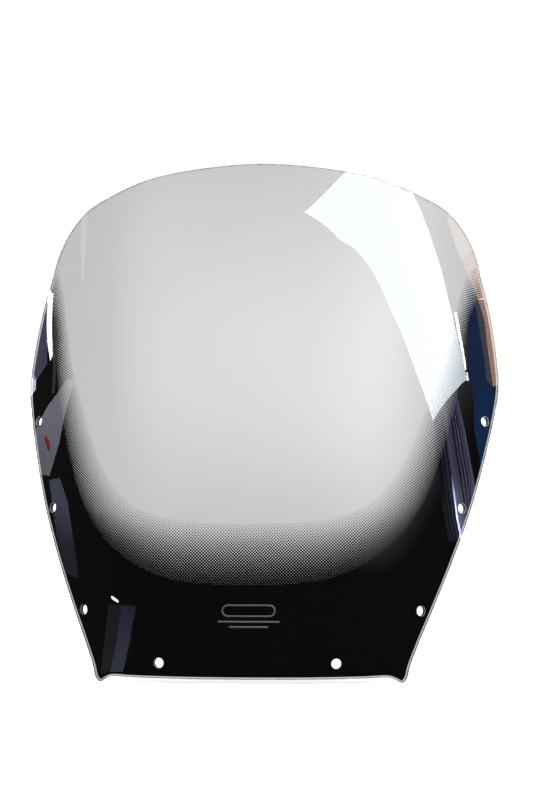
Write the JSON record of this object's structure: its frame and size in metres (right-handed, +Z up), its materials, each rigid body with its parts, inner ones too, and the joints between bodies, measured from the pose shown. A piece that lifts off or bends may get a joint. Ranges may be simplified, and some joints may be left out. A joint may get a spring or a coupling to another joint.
{
  "type": "motorcycle windshield screen",
  "caption": "Shield-shaped formed acrylic windscreen with swept-back wings, a dark printed border fading through dots to a clear window, and screw holes along its lower edges.",
  "frame": {"origin": "bottom centre of the whole part's box: level with the two feet, in the plane of symmetry, halfway through its depth", "axes": "+X across the screen to the right of someone who faces its front, -Y out of the front into the wind, +Z up"},
  "size_m": [0.4636, 0.1867, 0.5036],
  "materials": {
    "clear_acrylic": "polished cast acrylic with a very light neutral smoke tint, glossy on both faces, sawn edge rounded and polished",
    "black_ink": "solid black screen print behind the acrylic, so it looks as glossy as the sheet from the front and satin from behind",
    "fade_ink": "the same black ink as a halftone of dots, from full cover at the border to nothing at the window",
    "grey_ink": "thin matte grey print on the front face"
  },
  "bodies": {
    "root": {"screen_pane": "clear_acrylic", "border_print": "black_ink", "fade_print": "fade_ink", "mark_badge": "grey_ink", "mark_bar_upper": "grey_ink", "mark_bar_lower": "grey_ink"}
  },
  "joints": []
}
